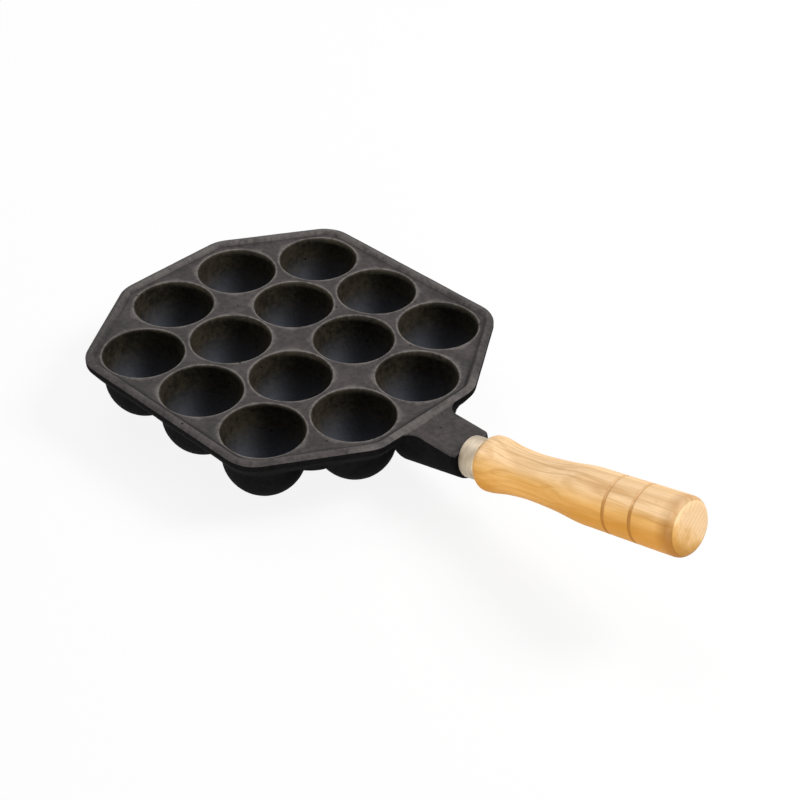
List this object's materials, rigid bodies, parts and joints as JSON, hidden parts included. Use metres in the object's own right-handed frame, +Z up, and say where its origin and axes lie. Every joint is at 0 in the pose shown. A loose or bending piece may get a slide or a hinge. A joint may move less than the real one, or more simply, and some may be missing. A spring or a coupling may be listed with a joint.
{
  "type": "takoyaki pan",
  "caption": "Cast pan with an octagonal rimmed plate of ball cups, domed underneath, and a turned wooden handle screwed into a raised socket block.",
  "frame": {"origin": "middle of the whole pan's length and width, on the surface that the cups stand on", "axes": "+Z up, +X from the plate towards the end of the handle"},
  "size_m": [0.327, 0.1654, 0.0682],
  "materials": {
    "cast_iron": "seasoned, fine cast grain",
    "stud_steel": "zinc plated",
    "ferrule_metal": "satin",
    "handle_wood": "turned, thin clear lacquer"
  },
  "bodies": {
    "pan": {"pan_casting": "cast_iron"},
    "ferrule_ring": {"ferrule": "ferrule_metal"},
    "handle": {"wood_handle": "handle_wood", "handle_stud": "stud_steel"}
  },
  "joints": [
    {"name": "handle_travel", "type": "slide", "parent": "pan", "child": "ferrule_ring", "axis": [0.9692, 0, 0.2463], "range_m": [0, 0.0138]},
    {"name": "handle_turn", "type": "hinge", "parent": "ferrule_ring", "child": "handle", "pos_m": [0.04389, 0, 0.0267], "axis": [0.9692, 0, 0.2463], "range_deg": [0, 3960]}
  ],
  "couplings": [
    {"joint": "handle_travel", "follows": "handle_turn", "m_per_rad": 0.00019894}
  ]
}
